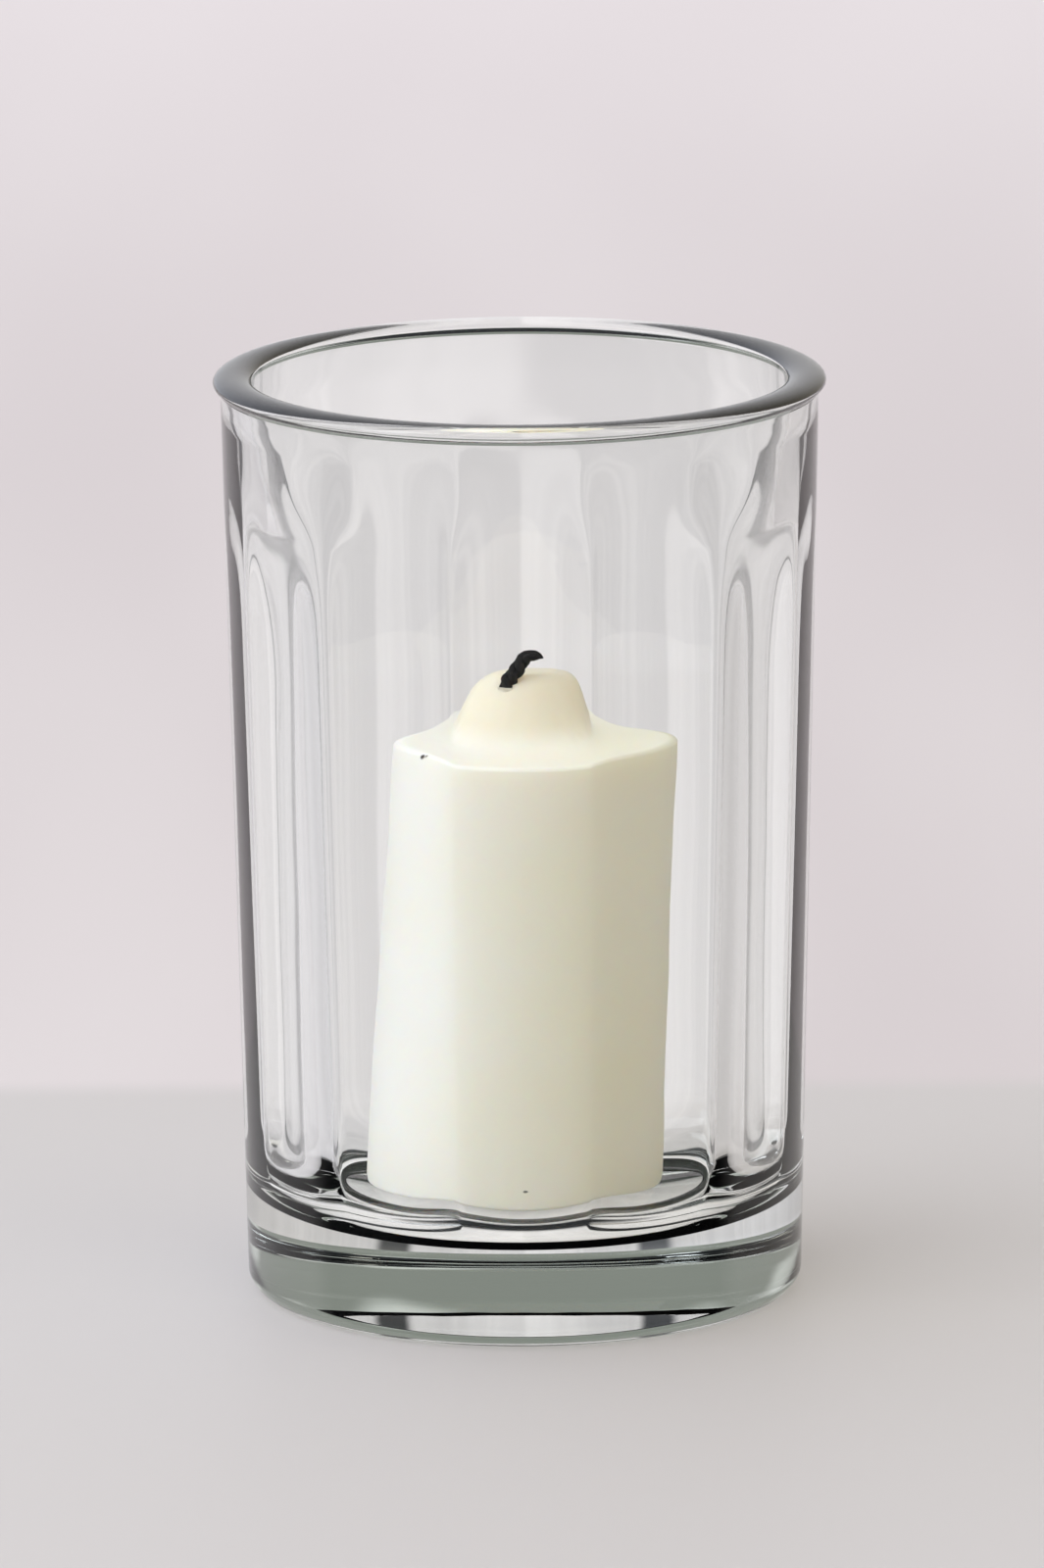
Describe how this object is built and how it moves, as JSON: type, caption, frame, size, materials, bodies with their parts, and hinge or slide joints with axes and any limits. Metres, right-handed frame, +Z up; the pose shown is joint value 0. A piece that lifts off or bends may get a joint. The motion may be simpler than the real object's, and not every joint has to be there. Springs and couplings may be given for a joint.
{
  "type": "hurricane candle lantern",
  "caption": "Heavy-based clear glass hurricane tumbler with flats pressed inside and a rounded rim bead, holding a loose ivory pillar candle with a mounded top and a burnt, bent wick.",
  "frame": {"origin": "centre of the ring that the glass stands on, at table level", "axes": "+Z up along the glass's axis, -Y towards the viewer, +X to the viewer's right"},
  "size_m": [0.082, 0.082, 0.1255],
  "materials": {
    "clear_glass": "clear pressed soda glass with a faint grey-green tint in the base",
    "ivory_wax": "smooth ivory wax with a soft sheen",
    "cotton_wick": "waxed cotton braid",
    "charred_wick": "burnt and matte black",
    "tinplate": "thin tin-plated steel"
  },
  "bodies": {
    "glass": {"hurricane_glass": "clear_glass"},
    "candle": {"candle_wax": "ivory_wax", "wick_braid": "cotton_wick", "wick_char": "charred_wick", "wick_sustainer": "tinplate"}
  },
  "joints": [
    {"name": "candle_lift", "type": "slide", "parent": "glass", "child": "candle", "axis": [0, 0, 1], "range_m": [0, 0.12]}
  ]
}
